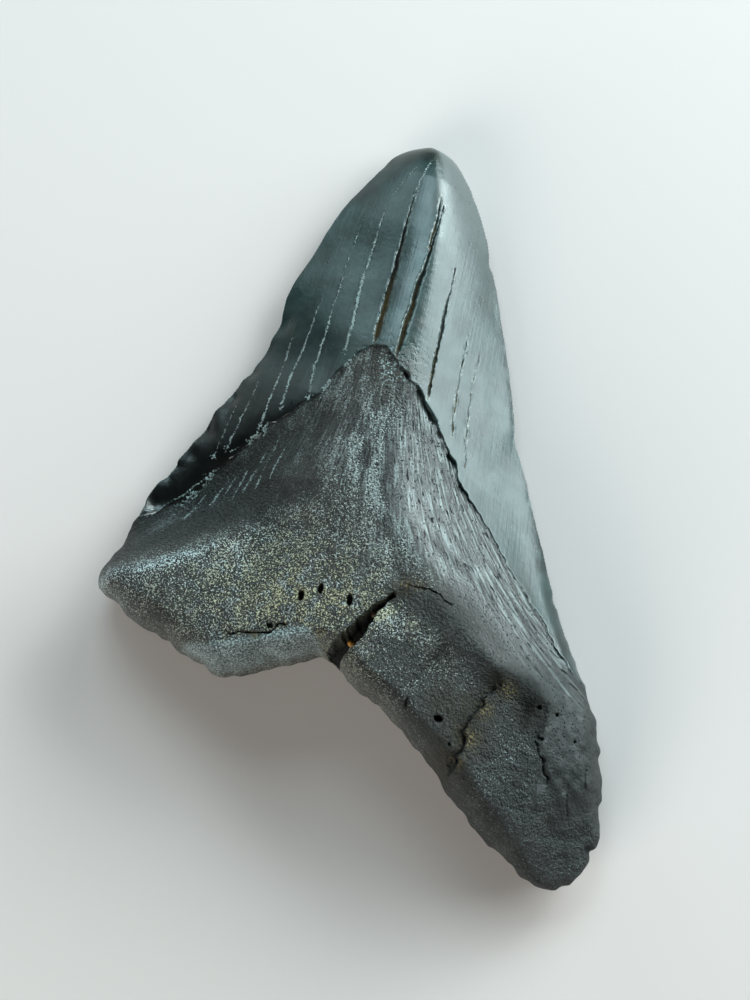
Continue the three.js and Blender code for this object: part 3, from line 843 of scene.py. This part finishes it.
    # Painted reflection: paler enamel right of the crest towards the tip.
    enamel_colour = finish.blend(finish.mark("painted_reflection"), enamel_colour, (0.115, 0.13, 0.13))
    enamel_colour = finish.blend(pale, enamel_colour, (0.30, 0.37, 0.37))
    open_crack = finish.mark("open_crack")
    rim = finish.ease(finish.math("MULTIPLY_ADD", ragged, 1.2, open_crack), -0.3, -0.18)
    rim = finish.math("MULTIPLY", rim, finish.ease(finish.noise(1.4, 2), 0.46, 0.6, 0, 0.8))
    enamel_colour = finish.blend(rim, enamel_colour, (0.19, 0.21, 0.19))
    dirt = finish.math("MULTIPLY_ADD", finish.noise(1.3, 3), 0.5, finish.mark("crack_place"))
    dirt = finish.ease(dirt, 0.72, 0.95)
    dirt = finish.math("MULTIPLY", dirt, finish.ease(finish.noise(0.3, 2), 0.35, 0.6, 0.2, 1))
    # Inside the open cracks: near-black painted shade, with brown dirt towards their lower ends.
    crack_shade_and_dirt = finish.blend(dirt, (0.002, 0.0025, 0.0025), (0.10, 0.066, 0.018))
    in_crack = finish.ease(open_crack, -0.09, -0.01)
    enamel_colour = finish.blend(in_crack, enamel_colour, crack_shade_and_dirt)

    colour = finish.blend(enamel, root, enamel_colour)
    scab = finish.math("MULTIPLY", apex, finish.ease(finish.noise(1.1, 3), 0.38, 0.52))
    colour = finish.blend(scab, colour, (0.032, 0.027, 0.019))
    flake = finish.math("MULTIPLY_ADD", finish.mark("flaky"), 0.34, finish.noise(0.45, 3))
    flake = finish.ease(flake, 0.79, 0.87)
    colour = finish.blend(flake, colour, (0.34, 0.42, 0.42))
    # Painted shade: the cleft and the root's cracks painted near black.
    colour = finish.blend(cavity_shade, colour, (0.004, 0.0038, 0.003))
    finish.feed(finish.surface.inputs["Base Color"], colour)

    root_gloss = finish.ease(finish.noise(1.5, 3), 0.3, 0.7, 0.28, 0.42)
    root_gloss = finish.math("MULTIPLY_ADD", matte, 0.3, root_gloss)
    root_gloss = finish.math("MULTIPLY_ADD", shade, 0.25, root_gloss)
    root_gloss = finish.math("MULTIPLY_ADD", stain, 0.3, root_gloss)
    root_gloss = finish.math("MULTIPLY_ADD", painted_shade, 0.25, root_gloss)
    enamel_gloss = finish.ease(finish.noise(3, 4), 0.3, 0.7, 0.27, 0.34)
    gloss = finish.math("MULTIPLY_ADD", enamel, finish.math("SUBTRACT", enamel_gloss, root_gloss), root_gloss)
    dull = finish.math("MAXIMUM", cavity_shade, finish.math("MULTIPLY", finish.math("MAXIMUM", flake, scab), 0.5))
    dull = finish.math("MAXIMUM", dull, finish.math("MULTIPLY", hollow, bare))
    dull = finish.math("MAXIMUM", dull, finish.math("MULTIPLY", in_crack, enamel))
    gloss = finish.math("MULTIPLY_ADD", dull, finish.math("SUBTRACT", 0.95, gloss), gloss)
    finish.feed(finish.surface.inputs["Roughness"], gloss)
    finish.surface.inputs["IOR"].default_value = 1.75

    grain = finish.math("MULTIPLY_ADD", finish.noise(0.5, 3), 3.4, fleck_shape)
    grain = finish.math("MULTIPLY_ADD", finish.math("MULTIPLY", finish.noise(1.4, 4), matte), 5.0, grain)
    grain = finish.math("MULTIPLY", grain, finish.math("MULTIPLY_ADD", worn, -0.88, 1.0))
    grain = finish.math("MULTIPLY_ADD", finish.math("MULTIPLY", neck_lines, neck), 0.85, grain)
    grain = finish.math("MULTIPLY_ADD", hollow, -0.9, grain)
    skin = finish.math("MULTIPLY_ADD", crown_lines, 0.15, finish.math("MULTIPLY", finish.noise(0.9, 4), 0.15))
    skin = finish.math("ADD", skin, finish.math("MULTIPLY", pale, flecks))
    skin = finish.math("MULTIPLY", skin, enamel)
    relief = finish.math("MULTIPLY_ADD", finish.math("MULTIPLY", grain, bare), 1.35, skin)
    relief = finish.math("MULTIPLY_ADD", finish.math("MAXIMUM", flake, scab), 0.6, relief)
    finish.feed(finish.surface.inputs["Normal"], finish.bump(relief, 0.22))
    return finish.material


def sand_finish(name, dark, light):
    finish = Finish(name)
    colour = finish.blend(finish.ease(finish.noise(0.5, 3), 0.35, 0.65), dark, light)
    finish.feed(finish.surface.inputs["Base Color"], colour)
    finish.feed(finish.surface.inputs["Roughness"], finish.ease(finish.noise(0.3, 2), 0.3, 0.7, 0.15, 0.4))
    finish.feed(finish.surface.inputs["Normal"], finish.bump(finish.noise(0.25, 2), 0.05))
    return finish.material


def build_grain(node, name, swell, seed):
    low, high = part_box(node)
    centre, half = (low + high) / 2, (high - low) / 2
    pebble = bmesh.new()
    bmesh.ops.create_icosphere(pebble, subdivisions=4, radius=1)
    points = np.array([vertex.co for vertex in pebble.verts])
    bulge = 1 + 0.16 * lumps(points, 0.9, seed) + 0.05 * lumps(points, 0.35, seed + 1)
    for vertex, factor in zip(pebble.verts, bulge):
        vertex.co = centre + Vector(half) * vertex.co * float(factor * swell)
    for face in pebble.faces:
        face.smooth = True
    mesh = bpy.data.meshes.new(name)
    pebble.to_mesh(mesh)
    pebble.free()
    grain = bpy.data.objects.new(name, mesh)
    bpy.context.scene.collection.objects.link(grain)
    return grain


tooth.data.materials.append(tooth_finish())
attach(tooth, "root")
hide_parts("tooth")

SAND = [
    ("lower_sand_grain", "amber_grain", "amber_sand", (0.30, 0.12, 0.02), (0.65, 0.36, 0.10), 61),
    ("upper_sand_grain", "brown_grain", "brown_sand", (0.10, 0.06, 0.03), (0.30, 0.22, 0.14), 71),
]
for node, name, slot, dark, light, seed in SAND:
    grain = build_grain(node, name, 1.25, seed)
    grain.data.materials.append(sand_finish(name + "_quartz", dark, light))
    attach(grain, "root")
    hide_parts(node)


# ---------------------------------------------------------------- stage, lights and camera


def build_floor():
    sweep = bmesh.new()
    bmesh.ops.create_grid(sweep, x_segments=1, y_segments=1, size=1.5)
    mesh = bpy.data.meshes.new("floor")
    sweep.to_mesh(mesh)
    sweep.free()
    floor = bpy.data.objects.new("floor", mesh)
    floor.location.z = -0.0001
    bpy.context.scene.collection.objects.link(floor)
    finish = Finish("pale_floor")
    finish.surface.inputs["Base Color"].default_value = (0.80, 0.71, 0.695, 1)
    finish.surface.inputs["Roughness"].default_value = 0.8
    mesh.materials.append(finish.material)
    return floor


def soft_light(name, turn, height, size, radiance, colour):
    """A soft panel 0.9 m away, turn degrees round from +X and height degrees up, facing the tooth."""
    turn, height = np.radians(turn), np.radians(height)
    toward = Vector((np.cos(turn) * np.cos(height), np.sin(turn) * np.cos(height), np.sin(height)))
    lamp = bpy.data.lights.new(name, "AREA")
    lamp.shape = "RECTANGLE"
    lamp.size, lamp.size_y = size
    lamp.energy = radiance * np.pi * size[0] * size[1]
    lamp.color = colour
    light = bpy.data.objects.new(name, lamp)
    light.location = toward * 0.9
    light.rotation_euler = toward.to_track_quat("Z", "Y").to_euler()
    bpy.context.scene.collection.objects.link(light)


build_floor()
soft_light("right_window", 36, 20, (0.9, 0.6), 5.3, (0.84, 1.0, 1.02))
soft_light("right_fill", 66, 26, (0.5, 0.45), 5.2, (0.84, 1.0, 1.0))
soft_light("top_window", 108, 45, (0.42, 0.42), 4.2, (0.72, 0.98, 1.05))
soft_light("left_window", 134, 19, (0.38, 0.34), 2.1, (0.74, 1.0, 1.04))
soft_light("root_fill", 240, 22, (0.7, 0.5), 4.4, (0.96, 1.0, 0.93))

world = bpy.data.worlds.new("studio")
world.use_nodes = True
world.node_tree.nodes["Background"].inputs["Color"].default_value = (0.04, 0.046, 0.048, 1)
bpy.context.scene.world = world
bpy.context.scene.view_settings.view_transform = "Standard"
bpy.context.scene.view_settings.look = "Medium High Contrast"

# The camera looks down on the domed face, a little from the root's side, with the crown leaning right.
AIM = Vector((2.66 - plan_centre[0], 28.68 - plan_centre[1], 8)) / 1000
CAMERA_TURN, CAMERA_HEIGHT, CAMERA_LEAN, CAMERA_DISTANCE = 20, 79, 10.8, 0.383

turn, height, lean = (np.radians(angle) for angle in (CAMERA_TURN, CAMERA_HEIGHT, CAMERA_LEAN))
back = Vector((np.sin(turn) * np.cos(height), -np.cos(turn) * np.cos(height), np.sin(height)))
upward = Vector((-np.sin(lean), np.cos(lean), 0))
upward = (upward - back * upward.dot(back)).normalized()
sideways = upward.cross(back)
camera = bpy.data.objects.new("camera", bpy.data.cameras.new("camera"))
camera.data.lens = 80
camera.matrix_world = Matrix((sideways, upward, back)).transposed().to_4x4()
camera.location = AIM + back * CAMERA_DISTANCE
bpy.context.scene.collection.objects.link(camera)
bpy.context.scene.camera = camera
